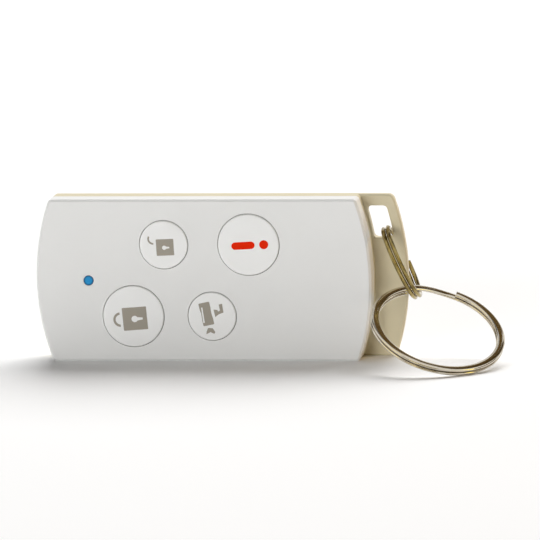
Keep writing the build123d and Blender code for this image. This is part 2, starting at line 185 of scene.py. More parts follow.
def viewing_rays(tree: bpy.types.NodeTree) -> bpy.types.NodeSocket:
    """Tell rays that show a thing from rays that only carry its light.

    Args:
        tree: The tree that takes the nodes.

    Returns:
        A socket that gives 1 to camera, glossy and transmission rays, and 0 to all others.
    """
    path = add_node(tree, "ShaderNodeLightPath")
    seen = add_node(tree, "ShaderNodeMath", {"operation": "ADD", "use_clamp": True},
                    {0: path.outputs["Is Camera Ray"], 1: path.outputs["Is Glossy Ray"]})
    either = add_node(tree, "ShaderNodeMath", {"operation": "ADD", "use_clamp": True},
                      {0: seen.outputs[0], 1: path.outputs["Is Transmission Ray"]})
    return either.outputs[0]


def lathe(profile: Sequence[Point], centre: Point, steps: int) -> bmesh.types.BMesh:
    """Turn a closed-ended profile round an axis along Y.

    Args:
        profile: Radius and Y of each point, both ends on the axis.
        centre: X and Z of the axis.
        steps: Points round each circle.

    Returns:
        The closed shape, in metres.
    """
    shape = bmesh.new()
    rings = []
    for radius, level in profile:
        count = 1 if radius == 0 else steps
        turns = [2 * pi * step / count for step in range(count)]
        rings.append([shape.verts.new(Vector((centre[0] + radius * cos(turn), level,
                                              centre[1] + radius * sin(turn))) * MM) for turn in turns])
    for near, far in zip(rings, rings[1:]):
        for step in range(steps):
            after = (step + 1) % steps
            corners = [near[step % len(near)], near[after % len(near)],
                       far[after % len(far)], far[step % len(far)]]
            shape.faces.new(list(dict.fromkeys(corners)))
    bmesh.ops.recalc_face_normals(shape, faces=shape.faces)
    return shape


def arc_points(centre: Point, radius: float, start_deg: float, end_deg: float, steps: int) -> list[Point]:
    """Points along an arc.

    Args:
        centre: Middle of the arc.
        radius: Its radius.
        start_deg: Angle of its first point.
        end_deg: Angle of its last point.
        steps: How many parts it is split into.

    Returns:
        The points, both ends among them.
    """
    turns = [radians(start_deg + (end_deg - start_deg) * step / steps) for step in range(steps + 1)]
    return [(centre[0] + radius * cos(turn), centre[1] + radius * sin(turn)) for turn in turns]


# ---- Finishes

@dataclass(frozen=True)
class MouldedPlastic:
    """A plastic or ink surface, moulded, cast or printed, with the grain of its tool."""

    name: str
    colour: str
    low_colour: str
    roughness: float
    roughness_spread: float
    grain_mm: float
    grain_depth_mm: float
    ior: float = 1.53
    coat: float = 0.0
    soft: float = 0.0
    flow_mm: float = 9.0
    coat_roughness: float = 0.06
    soft_reach_mm: float = 0.8

    def material(self) -> bpy.types.Material:
        """Build the material: faint flow mottle in the colour, tool grain in the gloss and the bump.

        Returns:
            The material.
        """
        made, tree = blank_material(self.name)
        place = add_node(tree, "ShaderNodeTexCoord")
        flow = add_node(tree, "ShaderNodeTexNoise",
                        {"Scale": 1 / (self.flow_mm * MM), "Detail": 3.0, "Roughness": 0.45},
                        {"Vector": place.outputs["Object"]})
        tint = add_node(tree, "ShaderNodeMix",
                        {"data_type": "RGBA", MIX_A: srgb(self.low_colour), MIX_B: srgb(self.colour)},
                        {MIX_SHARE: flow.outputs["Fac"]})
        grain = add_node(tree, "ShaderNodeTexNoise",
                         {"Scale": 1 / (self.grain_mm * MM), "Detail": 2.0, "Roughness": 0.6},
                         {"Vector": place.outputs["Object"]})
        gloss = add_node(tree, "ShaderNodeMapRange",
                         {"To Min": self.roughness - self.roughness_spread,
                          "To Max": self.roughness + self.roughness_spread}, {"Value": grain.outputs["Fac"]})
        relief = add_node(tree, "ShaderNodeBump", {"Strength": 1.0, "Distance": self.grain_depth_mm * MM},
                          {"Height": grain.outputs["Fac"]})
        shader = add_node(tree, "ShaderNodeBsdfPrincipled",
                          {"IOR": self.ior, "Coat Weight": self.coat, "Coat Roughness": self.coat_roughness,
                           "Subsurface Weight": self.soft, "Subsurface Scale": self.soft_reach_mm * MM},
                          {"Base Color": tint.outputs[MIX_OUT], "Roughness": gloss.outputs["Result"],
                           "Normal": relief.outputs["Normal"]})
        add_node(tree, "ShaderNodeOutputMaterial", {}, {"Surface": shader.outputs["BSDF"]})
        return made


@dataclass(frozen=True)
class BareMetal:
    """A plated or rolled metal with fine marks along one direction."""

    name: str
    colour: str
    dull_and_dark_reflection_colour: str
    roughness: float
    roughness_spread: float
    mark_mm: float
    mark_stretch: tuple[float, float, float]
    mark_depth_mm: float
    haze_mm: float = 2.2

    def material(self) -> bpy.types.Material:
        """Build the material: a noise mask for handling dullness in the colour and the gloss, fine marks in
        the bump. Where the dull colour is dark, as on the small ring, the same mask places painted dark
        reflection.

        Returns:
            The material.
        """
        made, tree = blank_material(self.name)
        place = add_node(tree, "ShaderNodeTexCoord")
        stretched = add_node(tree, "ShaderNodeMapping", {"Scale": self.mark_stretch},
                             {"Vector": place.outputs["Object"]})
        marks = add_node(tree, "ShaderNodeTexNoise",
                         {"Scale": 1 / (self.mark_mm * MM), "Detail": 4.0, "Roughness": 0.65},
                         {"Vector": stretched.outputs["Vector"]})
        # The mask mixes in the dull colour: handling dullness on most metals, painted dark reflection on the
        # small ring.
        haze_and_dark_reflection_mask = add_node(tree, "ShaderNodeTexNoise",
                        {"Scale": 1 / (self.haze_mm * MM), "Detail": 3.0, "Roughness": 0.55},
                        {"Vector": place.outputs["Object"]})
        tint = add_node(tree, "ShaderNodeMix",
                        {"data_type": "RGBA", MIX_A: srgb(self.colour), MIX_B: srgb(self.dull_and_dark_reflection_colour)},
                        {MIX_SHARE: haze_and_dark_reflection_mask.outputs["Fac"]})
        gloss = add_node(tree, "ShaderNodeMapRange",
                         {"To Min": self.roughness - self.roughness_spread,
                          "To Max": self.roughness + self.roughness_spread}, {"Value": haze_and_dark_reflection_mask.outputs["Fac"]})
        relief = add_node(tree, "ShaderNodeBump", {"Strength": 1.0, "Distance": self.mark_depth_mm * MM},
                          {"Height": marks.outputs["Fac"]})
        shader = add_node(tree, "ShaderNodeBsdfPrincipled", {"Metallic": 1.0},
                          {"Base Color": tint.outputs[MIX_OUT], "Roughness": gloss.outputs["Result"],
                           "Normal": relief.outputs["Normal"]})
        add_node(tree, "ShaderNodeOutputMaterial", {}, {"Surface": shader.outputs["BSDF"]})
        return made


@dataclass(frozen=True)
class LightPipe:
    """A clear tinted rod seen end-on, with painted shade darkening it towards its rim where the bore shades
    it.
    """

    name: str
    colour: str
    rim_shade_colour: str
    centre: Point
    radius: float
    clear_share: float
    roughness: float
    ior: float

    def material(self) -> bpy.types.Material:
        """Build the material: a clear middle, painted shade at the rim by distance from the rod's axis, a
        polished end.

        Returns:
            The material.
        """
        made, tree = blank_material(self.name)
        place = add_node(tree, "ShaderNodeTexCoord")
        level = add_node(tree, "ShaderNodeVectorMath", {"operation": "MULTIPLY", 1: (1.0, 0.0, 1.0)},
                         {0: place.outputs["Object"]})
        axis = (self.centre[0] * MM, 0.0, self.centre[1] * MM)
        reach = add_node(tree, "ShaderNodeVectorMath", {"operation": "DISTANCE", 1: axis},
                         {0: level.outputs["Vector"]})
        shade = add_node(tree, "ShaderNodeMapRange",
                         {"From Min": self.radius * self.clear_share * MM, "From Max": self.radius * MM},
                         {"Value": reach.outputs["Value"]})
        tint = add_node(tree, "ShaderNodeMix",
                        {"data_type": "RGBA", MIX_A: srgb(self.colour), MIX_B: srgb(self.rim_shade_colour)},
                        {MIX_SHARE: shade.outputs["Result"]})
        shader = add_node(tree, "ShaderNodeBsdfPrincipled", {"IOR": self.ior, "Roughness": self.roughness},
                          {"Base Color": tint.outputs[MIX_OUT]})
        add_node(tree, "ShaderNodeOutputMaterial", {}, {"Surface": shader.outputs["BSDF"]})
        return made


class Finish(Enum):
    """The finishes of the fob, each named for its material and how its surface was made."""

    # White ABS from a finely spark-eroded tool: an even satin that breaks highlights up softly.
    COVER = MouldedPlastic("abs_white_spark_eroded", "#F0F0EE", "#EBEBE9", 0.5, 0.05, 0.22, 0.004)
    # The same ABS for the rear moulding, as satin, partly ivory and partly painted warm shade: its colour is
    # darker and warmer to stand in for the dim, warm light on the recessed tongue.
    SHELL = MouldedPlastic("abs_ivory_spark_eroded", "#DBD1B4", "#D5CAA9", 0.5, 0.05, 0.22, 0.004)
    # White ABS from a polished tool: a clear gloss, with flow marks too faint to name.
    KEY = MouldedPlastic("abs_white_polished", "#F8F8F6", "#F4F4F2", 0.2, 0.03, 1.4, 0.001, coat=0.25)
    # Grey pad-printing ink: flat and a little uneven where the pad lifted.
    INK_GREY = MouldedPlastic("ink_warm_grey_pad_printed", "#A69F92", "#9C9588", 0.45, 0.06, 0.3, 0.001)
    # Red pad-printing ink, the same film in a strong colour.
    INK_RED = MouldedPlastic("ink_signal_red_pad_printed", "#EE2A00", "#E62600", 0.6, 0.05, 0.3, 0.001,
                             ior=1.2)
    # Blue tinted polycarbonate, polished: a deep colour under a hard clear gloss, with painted shade
    # darkening its rim, where the bore shades it.
    LENS = LightPipe("polycarbonate_blue_polished", "#0094D4", "#003F66", centre=(-21.35, 15.0), radius=0.93,
                     clear_share=0.55, roughness=0.14, ior=1.42)
    # Silicone over the light's chip, slightly cloudy.
    LIGHT_CHIP = MouldedPlastic("silicone_yellow_cast", "#E9DFA6", "#DDD08C", 0.3, 0.04, 0.3, 0.001, ior=1.41)
    # Glass-fibre board under green solder mask: glossy, with the weave just felt under it.
    BOARD = MouldedPlastic("glass_fibre_board_solder_masked", "#1F6B3A", "#19592F", 0.28, 0.05, 0.5, 0.006,
                           ior=1.52)
    # Black moulding compound of a chip: flat and grainy.
    CHIP = MouldedPlastic("epoxy_black_transfer_moulded", "#26262A", "#1E1E21", 0.62, 0.06, 0.08, 0.003)
    # Black nylon of a switch base, matt from a plain tool.
    SWITCH = MouldedPlastic("nylon_black_moulded", "#2C2C30", "#242427", 0.55, 0.05, 0.12, 0.003)
    # Natural nylon of a switch plunger, waxy and a little see-through at its edges.
    PLUNGER = MouldedPlastic("nylon_natural_moulded", "#DEDACE", "#D5D0C1", 0.4, 0.04, 0.15, 0.002, soft=0.2)
    # Nickel plate over spring steel wire: near-mirror, warm, dulled in patches from handling.
    NICKEL = BareMetal("steel_wire_nickel_plated", "#DBD4C8", "#BFB49C", 0.11, 0.05, 0.12, (1, 1, 1), 0.0006)
    # Nickel plate of the small ring, painted darker and golden: the gold tint and the dark patches are
    # painted reflection of a warm brown room, standing in for what the ring mirrors.
    AGED_NICKEL = BareMetal("steel_wire_nickel_yellowed", "#C4B072", "#4A3A1A", 0.1, 0.05, 0.12, (1, 1, 1),
                            0.0006)
    # Stainless cell can, turned: fine rings give it a satin sheen.
    CELL = BareMetal("stainless_steel_deep_drawn", "#D2D2D3", "#C6C6C8", 0.3, 0.06, 0.1, (1, 8, 1), 0.001)
    # Tinned can of the crystal, satin.
    CAN = BareMetal("steel_can_tin_plated", "#D6D4D0", "#CAC8C3", 0.34, 0.05, 0.15, (1, 1, 4), 0.001)
    # Nickel-plated spring strip of the cell's contacts, rolled lengthwise.
    CONTACT = BareMetal("spring_steel_strip_nickel_plated", "#D9D0BD", "#CBC1AC", 0.26, 0.06, 0.1,
                        (1, 1, 0.2), 0.001)
    # Brass strip of the antenna, bright from the roll.
    ANTENNA = BareMetal("brass_strip_rolled", "#D9B15C", "#C99F4B", 0.28, 0.06, 0.1, (1, 1, 0.2), 0.001)
    # Zinc-plated screw steel: pale, satin, a little blue.
    SCREW = BareMetal("steel_screw_zinc_plated", "#BFC3C8", "#AEB3BA", 0.32, 0.07, 0.12, (1, 3, 1), 0.0015)


class FinishShelf:
    """Materials by finish, each built once when it is first asked for."""

    def __init__(self) -> None:
        """Start with an empty shelf."""
        self.made: dict[Finish, bpy.types.Material] = {}

    def get(self, finish: Finish) -> bpy.types.Material:
        """Give the material of a finish, building it at first use.

        Args:
            finish: The finish.

        Returns:
            Its material.
        """
        if finish not in self.made:
            self.made[finish] = finish.value.material()
        return self.made[finish]


# ---- Covers

@dataclass
class Covers:
    """The two cover mouldings, with every hard edge softened as a tool maker's radius does."""

    edge_round: float = 0.24
    edge_steps: int = 3
    edge_angle_deg: float = 28.0
    flat_angle_deg: float = 0.6
    merge_gap: float = 0.0005
    finishes: dict[str, Finish] = field(default_factory=lambda: {
        "front_cover": Finish.COVER, "rear_cover": Finish.SHELL})

    def softened(self, source: bpy.types.Object, name: str) -> bpy.types.Object:
        """Copy a cover's mesh, close it and round its edges.

        Args:
            source: The cover as it came from the frame.
            name: Name of the new piece.

        Returns:
            The rounded piece.
        """
        shape = bmesh.new()
        shape.from_mesh(source.data)
        shape.transform(source.matrix_world)
        bmesh.ops.remove_doubles(shape, verts=shape.verts, dist=self.merge_gap * MM)
        bmesh.ops.dissolve_limit(shape, angle_limit=radians(self.flat_angle_deg), verts=shape.verts,
                                 edges=shape.edges)
        piece = mesh_object(name, shape)
        edge = piece.modifiers.new("edge_round", "BEVEL")
        edge.width = self.edge_round * MM
        edge.segments = self.edge_steps
        edge.limit_method = "ANGLE"
        edge.angle_limit = radians(self.edge_angle_deg)
        edge.harden_normals = True
        edge.use_clamp_overlap = True
        mesh = baked(piece, name)
        piece.modifiers.clear()
        piece.data = mesh
        return piece

    def build(self, frame: dict, shelf: FinishShelf) -> list[bpy.types.Object]:
        """Build both covers in place of the frame's own.

        Args:
            frame: The loaded frame.
            shelf: The materials.

        Returns:
            The two pieces.
        """
        pieces = []
        for node, finish in self.finishes.items():
            piece = self.softened(frame["nodes"][node], f"{node}_moulding")
            dress(piece, shelf.get(finish))
            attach(piece, "case")
            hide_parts(node)
            pieces.append(piece)
        return pieces


# ---- Keys

@dataclass(frozen=True)
class KeyCap:
    """One keycap: a low dome with a rounded rim, a skirt and a flange behind the face."""

    name: str
    centre: Point
    diameter: float
    fuller: float = 0.05
    rim_level: float = -4.28
    dome_rise: float = 0.13
    rim_round: float = 0.32
    flange_front: float = -2.8
    flange_rear: float = -2.3
    flange_reach: float = 0.71
    steps: int = 96
    dome_steps: int = 6
    rim_steps: int = 6

    @property
    def radius(self) -> float:
        """Radius of the visible cap, a little fuller than that of the frame's key."""
        return self.diameter / 2 + self.fuller

    def dome_level(self, distance: float) -> float:
        """Find Y of the dome at a distance from the key's axis.

        Args:
            distance: The distance.

        Returns:
            The level.
        """
        share = min(distance / (self.radius - self.rim_round), 1.0)
        return self.rim_level - self.dome_rise * (1 - share ** 2)

    def build(self, shelf: FinishShelf) -> bpy.types.Object:
        """Turn the cap from its profile and put it in place of the frame's key.

        Args:
            shelf: The materials.

        Returns:
            The cap.
        """
        flat = self.radius - self.rim_round
        dome = [(flat * step / self.dome_steps, self.dome_level(flat * step / self.dome_steps))
                for step in range(self.dome_steps + 1)]
        rim = [(flat + self.rim_round * sin(pi / 2 * step / self.rim_steps),
                self.rim_level + self.rim_round * (1 - cos(pi / 2 * step / self.rim_steps)))
               for step in range(1, self.rim_steps + 1)]
        flange = self.radius + self.flange_reach
        rear = [(self.radius, self.flange_front), (flange, self.flange_front), (flange, self.flange_rear),
                (0.0, self.flange_rear)]
        piece = mesh_object(f"{self.name}_keycap", lathe(dome + rim + rear, self.centre, self.steps))
        dress(piece, shelf.get(Finish.KEY))
        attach(piece, f"{self.name}_key")
        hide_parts(f"{self.name}_button")
        return piece


@dataclass
class Pictogram:
    """A printed pictogram: closed outlines in a drawing that stands upright, then turned onto its key."""

    name: str
    cap: KeyCap
    outlines: list[list[Point]]
    finish: Finish = Finish.INK_GREY
    turn_deg: float = 90.0
    film: float = 0.02
    sink: float = 0.015
    mesh_step: float = 0.45
    merge_gap: float = 1e-6

    @property
    def sides(self) -> list[tuple[Point, Point]]:
        """Both ends of every side of the outlines."""
        return [side for loop in self.outlines for side in zip(loop, loop[1:] + loop[:1])]

    @property
    def edge_room(self) -> float:
        """Room that the mesh's inner points keep from the outlines."""
        return self.mesh_step / 3

    def inside(self, point: Point) -> bool:
        """Tell whether a point lies within the outlines, where an outline in another is a hole.

        Args:
            point: The point in the drawing.

        Returns:
            True where ink lies.
        """
        odd = False
        for (ax, ay), (bx, by) in self.sides:
            if (ay > point[1]) != (by > point[1]):
                if point[0] < ax + (point[1] - ay) * (bx - ax) / (by - ay):
                    odd = not odd
        return odd

    def clear_of_edges(self, point: Point, room: float) -> bool:
        """Tell whether a point keeps some room from every outline.

        Args:
            point: The point in the drawing.
            room: The room.

        Returns:
            True where it does.
        """
        for (ax, ay), (bx, by) in self.sides:
            run = (bx - ax) ** 2 + (by - ay) ** 2
            share = 0.0 if run == 0 else ((point[0] - ax) * (bx - ax) + (point[1] - ay) * (by - ay)) / run
            share = min(max(share, 0.0), 1.0)
            gap = sqrt((point[0] - ax - share * (bx - ax)) ** 2 + (point[1] - ay - share * (by - ay)) ** 2)
            if gap < room:
                return False
        return True

    def on_key(self, point: Point, lift: float) -> Vector:
        """Place a point of the drawing on the key's dome, in metres.

        Args:
            point: The point in the upright drawing.
            lift: How far it stands off the dome, outwards.

        Returns:
            The place in the frame.
        """
        turn = radians(self.turn_deg)
        right = point[0] * cos(turn) - point[1] * sin(turn)
        up = point[0] * sin(turn) + point[1] * cos(turn)
        level = self.cap.dome_level(sqrt(right ** 2 + up ** 2)) - lift
        return Vector((self.cap.centre[0] + right, level, self.cap.centre[1] + up)) * MM

    def build(self, shelf: FinishShelf) -> bpy.types.Object:
        """Fill the outlines with triangles and give them a film's thickness.

        Args:
            shelf: The materials.

        Returns:
            The print.
        """
        corners = [point for loop in self.outlines for point in loop]
        edges, start = [], 0
        for loop in self.outlines:
            edges += [(start + step, start + (step + 1) % len(loop)) for step in range(len(loop))]
            start += len(loop)
        low = [min(point[axis] for point in corners) for axis in (0, 1)]
        high = [max(point[axis] for point in corners) for axis in (0, 1)]
        counts = [floor((high[axis] - low[axis]) / self.mesh_step) for axis in (0, 1)]
        grid = [(low[0] + self.mesh_step * (col + 0.5), low[1] + self.mesh_step * (row + 0.5))
                for col in range(counts[0] + 1) for row in range(counts[1] + 1)]
        corners += [point for point in grid
                    if self.inside(point) and self.clear_of_edges(point, self.edge_room)]
        filled = delaunay_2d_cdt([Vector(point) for point in corners], edges, [], 0, self.merge_gap)
        places, triangles = filled[0], filled[2]
        shape = bmesh.new()
        top = [shape.verts.new(self.on_key(point, self.film)) for point in places]
        base = [shape.verts.new(self.on_key(point, -self.sink)) for point in places]
        walls: dict[tuple[int, int], int] = {}
        for triangle in triangles:
            middle = tuple(sum(places[corner][axis] for corner in triangle) / 3 for axis in (0, 1))
            if not self.inside(middle):
                continue
            shape.faces.new([top[corner] for corner in triangle])
            shape.faces.new([base[corner] for corner in reversed(triangle)])
            for near, far in zip(triangle, list(triangle[1:]) + [triangle[0]]):
                walls[(near, far)] = walls.get((near, far), 0) + 1
        for near, far in walls:
            if (far, near) not in walls:
                shape.faces.new([top[far], top[near], base[near], base[far]])
        bmesh.ops.delete(shape, geom=[vert for vert in shape.verts if not vert.link_faces], context="VERTS")
        bmesh.ops.recalc_face_normals(shape, faces=shape.faces)
        piece = mesh_object(f"{self.name}_pictogram", shape)
        dress(piece, shelf.get(self.finish))
        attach(piece, f"{self.cap.name}_key")
        return piece


def band(centre: Point, radius: float, stroke: float, start_deg: float, end_deg: float,
         steps: int = 20) -> list[Point]:
    """Closed outline of a stroke along an arc.

    Args:
        centre: Middle of the arc.
        radius: Radius of the stroke's middle line.
        stroke: Its width.
        start_deg: Angle of its first end.
        end_deg: Angle of its other end.
        steps: How many parts the arc is split into.

    Returns:
        The outline.
    """
    outer = arc_points(centre, radius + stroke / 2, start_deg, end_deg, steps)
    inner = arc_points(centre, radius - stroke / 2, end_deg, start_deg, steps)
    return outer + inner


def keyhole(centre: Point, radius: float, tail_end: float, tail_width: float) -> list[Point]:
    """Closed outline of a keyhole: a round top with a tapering tail below it.

    Args:
        centre: Middle of the round top.
        radius: Its radius.
        tail_end: Height of the tail's end.
        tail_width: Width of the tail's end.

    Returns:
        The outline.
    """
    head = arc_points(centre, radius, start_deg=-58, end_deg=238, steps=22)
    return head + [(centre[0] - tail_width / 2, tail_end), (centre[0] + tail_width / 2, tail_end)]


def rounded_box(low: Point, high: Point, radius: float, steps: int = 5) -> list[Point]:
    """Closed outline of an upright box with rounded corners.

    Args:
        low: Its lower left corner.
        high: Its upper right corner.
        radius: Radius of its corners.
        steps: How many parts each corner is split into.

    Returns:
        The outline.
    """
    corners = [((high[0] - radius, high[1] - radius), 0), ((low[0] + radius, high[1] - radius), 90),
               ((low[0] + radius, low[1] + radius), 180), ((high[0] - radius, low[1] + radius), 270)]
    return [point for centre, start in corners
            for point in arc_points(centre, radius, start, start + 90, steps)]


@dataclass
class Keypad:
    """The four keys with their pictograms."""

    arm: KeyCap = KeyCap("arm", (-13.15, 8.35), 11.25)
    disarm: KeyCap = KeyCap("disarm", (-7.15, 21.65), 8.85)
    home: KeyCap = KeyCap("home", (1.5, 8.35), 8.85)
    panic: KeyCap = KeyCap("panic", (8.6, 21.65), 11.25)
    dot_points: int = 30

    def pictograms(self) -> list[Pictogram]:
        """Draw the four pictograms: closed padlock, open padlock, camera and exclamation mark.

        Returns:
            The pictograms, each with its key.
        """
        closed_lock = [
            rounded_box((-2.53, -2.54), (1.72, 2.0), 0.12),
            keyhole((-0.47, -0.22), 0.6, -1.72, 0.36),
            band((-0.4, 2.42), 1.14, 0.43, 4, 176),
        ]
        open_lock = [
            rounded_box((-1.95, -1.92), (1.1, 1.34), 0.1),
            keyhole((-0.49, -0.14), 0.4, -1.1, 0.26),
            band((1.2, 1.86), 0.88, 0.32, 182, 58),
        ]
        camera = [
            rounded_box((-1.45, -0.12), (2.83, 1.94), 0.2),
            [(-0.86, 1.56), (2.0, 1.34), (2.03, 1.58), (-0.83, 1.84)],
            [(-1.92, 1.2), (-2.5, 1.62), (-2.98, 1.78), (-2.76, 0.93), (-3.2, 0.33), (-2.94, 0.06),
             (-2.14, 0.36)],
            [(-0.2, -0.6), (1.2, -0.6), (1.0, -1.28), (0.7, -1.34), (0.78, -1.72), (1.92, -1.76),
             (1.95, -2.38), (0.3, -2.28), (0.18, -1.4)],
        ]
        exclamation = [
            arc_points((-0.06, 2.43), 0.69, 0, 180, 14) + arc_points((-0.06, -0.52), 0.69, 180, 360, 14),
            arc_points((-0.1, -2.9), 0.83, 0, 360 - 360 / self.dot_points, self.dot_points - 1),
        ]
        return [
            Pictogram("arm", self.arm, closed_lock, turn_deg=94.2),
            Pictogram("disarm", self.disarm, open_lock, turn_deg=92.2),
            Pictogram("home", self.home, camera, turn_deg=101.9),
            Pictogram("panic", self.panic, exclamation, Finish.INK_RED, turn_deg=93.4),
        ]

    def build(self, shelf: FinishShelf) -> list[bpy.types.Object]:
        """Build the caps, then the prints that lie on them.

        Args:
            shelf: The materials.

        Returns:
            The four caps and the four prints.
        """
        pieces = [cap.build(shelf) for cap in (self.arm, self.disarm, self.home, self.panic)]
        return pieces + [drawing.build(shelf) for drawing in self.pictograms()]


# ---- Split rings

@dataclass
class WireTree:
    """A tree that lays flat wire along two turns with one jog, as a split ring is wound."""

    name: str = "split_ring_wire"
    fillet_points: int = 5
    section_points: int = 36
    sockets: tuple[tuple[str, str], ...] = (
        ("Path Radius", "Float"), ("Wire Width", "Float"), ("Wire Thickness", "Float"),
        ("Edge Radius", "Float"), ("Crown", "Float"), ("Level", "Float"), ("Half Jog", "Float"),
        ("Half Sweep", "Float"), ("Jog Place", "Float"), ("Steps", "Int"), ("Material", "Material"))
    # Each row names a value and gives its operation and operands: numbers, inputs, or values above it.
    sums: tuple[tuple[str | float, ...], ...] = (
        # The path: a circle gone round twice, with an eased step up at the jog
        ("centred", "MULTIPLY_ADD", "along", 2.0, -1.0),
        ("turn", "MULTIPLY", "centred", "Half Sweep"),
        ("jog share", "DIVIDE", "turn", "Half Jog"),
        ("capped above", "MINIMUM", "jog share", 1.0),
        ("capped", "MAXIMUM", "capped above", -1.0),
        ("squared", "MULTIPLY", "capped", "capped"),
        ("eased", "MULTIPLY_ADD", "squared", -0.5, 1.5),
        ("rise", "MULTIPLY", "eased", "capped"),
        ("path z", "MULTIPLY", "rise", "Level"),
        ("angle", "ADD", "turn", "Jog Place"),
        ("cosine", "COSINE", "angle"),
        ("sine", "SINE", "angle"),
        ("path x", "MULTIPLY", "cosine", "Path Radius"),
        ("path y", "MULTIPLY", "sine", "Path Radius"),
        # The section: thinner by the crown towards its sides
        ("reach", "DIVIDE", "section x", "Wire Width"),
        ("bulge", "MULTIPLY", "reach", "reach"),
        ("slimmed", "MULTIPLY", "bulge", "Crown"),
        ("left", "SUBTRACT", 1.0, "slimmed"),
        ("low y", "MULTIPLY", "section y", "left"),
    )

    def build(self) -> bpy.types.NodeTree:
        """Build the tree: a rounded flat section swept along the path, with its ends closed.

        Returns:
            The tree.
        """
        tree = bpy.data.node_groups.new(self.name, "GeometryNodeTree")
        tree.interface.new_socket("Geometry", in_out="INPUT", socket_type="NodeSocketGeometry")
        for socket, kind in self.sockets:
            tree.interface.new_socket(socket, in_out="INPUT", socket_type=f"NodeSocket{kind}")
        tree.interface.new_socket("Geometry", in_out="OUTPUT", socket_type="NodeSocketGeometry")
        given = add_node(tree, "NodeGroupInput").outputs
        along = add_node(tree, "GeometryNodeSplineParameter")
        place = add_node(tree, "GeometryNodeInputPosition")
        spot = add_node(tree, "ShaderNodeSeparateXYZ", {}, {0: place.outputs["Position"]})
        values = {socket: given[socket] for socket, _ in self.sockets}
        values |= {"along": along.outputs["Factor"], "section x": spot.outputs["X"],
                   "section y": spot.outputs["Y"]}
        for name, operation, *operands in self.sums:
            numbers = {at: operand for at, operand in enumerate(operands) if isinstance(operand, float)}
            fed = {at: values[operand] for at, operand in enumerate(operands) if isinstance(operand, str)}
            node = add_node(tree, "ShaderNodeMath", {"operation": operation, **numbers}, fed)
            values[name] = node.outputs[0]
        line = add_node(tree, "GeometryNodeCurvePrimitiveLine")
        points = add_node(tree, "GeometryNodeResampleCurve", {},
                          {"Curve": line.outputs["Curve"], "Count": given["Steps"]})
        wound = add_node(tree, "ShaderNodeCombineXYZ", {},
                         {"X": values["path x"], "Y": values["path y"], "Z": values["path z"]})
        path = add_node(tree, "GeometryNodeSetPosition", {},
                        {"Geometry": points.outputs["Curve"], "Position": wound.outputs[0]})
        upright = add_node(tree, "GeometryNodeSetCurveNormal", {"mode": "Z_UP"},
                           {"Curve": path.outputs["Geometry"]})
        box = add_node(tree, "GeometryNodeCurvePrimitiveQuadrilateral", {"mode": "RECTANGLE"},
                       {"Width": given["Wire Width"], "Height": given["Wire Thickness"]})
        rounded = add_node(tree, "GeometryNodeFilletCurve", {"mode": "POLY", "Count": self.fillet_points},
                           {"Curve": box.outputs["Curve"], "Radius": given["Edge Radius"]})
        even = add_node(tree, "GeometryNodeResampleCurve", {"Count": self.section_points},
                        {"Curve": rounded.outputs["Curve"]})
        seat = add_node(tree, "ShaderNodeCombineXYZ", {}, {"X": spot.outputs["X"], "Y": values["low y"]})
        crowned = add_node(tree, "GeometryNodeSetPosition", {},
                           {"Geometry": even.outputs["Curve"], "Position": seat.outputs[0]})
        swept = add_node(tree, "GeometryNodeCurveToMesh", {"Fill Caps": True},
                         {"Curve": upright.outputs["Curve"], "Profile Curve": crowned.outputs["Geometry"]})
        plain = add_node(tree, "GeometryNodeRealizeInstances", {}, {"Geometry": swept.outputs["Mesh"]})
        dressed = add_node(tree, "GeometryNodeSetMaterial", {},
                           {"Geometry": plain.outputs["Geometry"], "Material": given["Material"]})
        add_node(tree, "NodeGroupOutput", {}, {"Geometry": dressed.outputs["Geometry"]})
        return tree


@dataclass(frozen=True)
class SplitRing:
    """One split ring, wound from flat wire and hung at the angles of the photograph."""

    name: str
    centre: tuple[float, float, float]
    normal: tuple[float, float, float]
    start: tuple[float, float, float]
    diameter: float
    wire_width: float
    wire_thickness: float
    jog_place_deg: float
    jog_deg: float
    finish: Finish
    edge_radius_share: float = 0.44
    crown: float = 1.6
    turn_gap: float = 0.1
    end_deg: float = 4.0
    steps: int = 400

    def build(self, tree: bpy.types.NodeTree, shelf: FinishShelf) -> bpy.types.Object:
        """Wind the ring, bake it in place and let it stand for the frame's ring.

        Args:
            tree: The wire tree.
            shelf: The materials.

        Returns:
            The ring.
        """
        piece = mesh_object(f"{self.name}_wire", bmesh.new())
        wind = piece.modifiers.new("wind", "NODES")
        wind.node_group = tree
        values = {
            "Path Radius": (self.diameter - self.wire_width) / 2 * MM, "Wire Width": self.wire_width * MM,
            "Wire Thickness": self.wire_thickness * MM,
            "Edge Radius": self.wire_thickness * self.edge_radius_share * MM, "Crown": self.crown,
            "Level": (self.wire_thickness + self.turn_gap) / 2 * MM, "Half Jog": radians(self.jog_deg / 2),
            "Half Sweep": radians(360 - self.jog_deg / 2 - self.end_deg),
            "Jog Place": radians(self.jog_place_deg), "Steps": self.steps,
            "Material": shelf.get(self.finish),
        }
        for socket in tree.interface.items_tree:
            if socket.name in values:
                wind[socket.identifier] = values[socket.name]
        mesh = baked(piece, piece.name)
        piece.modifiers.clear()
        up = Vector(self.normal).normalized()
        first = Vector(self.start).normalized()
        turn = Matrix((first, up.cross(first), up)).transposed().to_4x4()
        shape = bmesh.new()
        shape.from_mesh(mesh)
        shape.transform(Matrix.Translation(Vector(self.centre) * MM) @ turn)
        bmesh.ops.recalc_face_normals(shape, faces=shape.faces)
        shape.to_mesh(mesh)
        shape.free()
        mesh.shade_smooth()
        piece.data = mesh
        dress(piece, shelf.get(self.finish))
        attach(piece, f"{self.name}_ring")
        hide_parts(f"{self.name}_split_ring")
        return piece


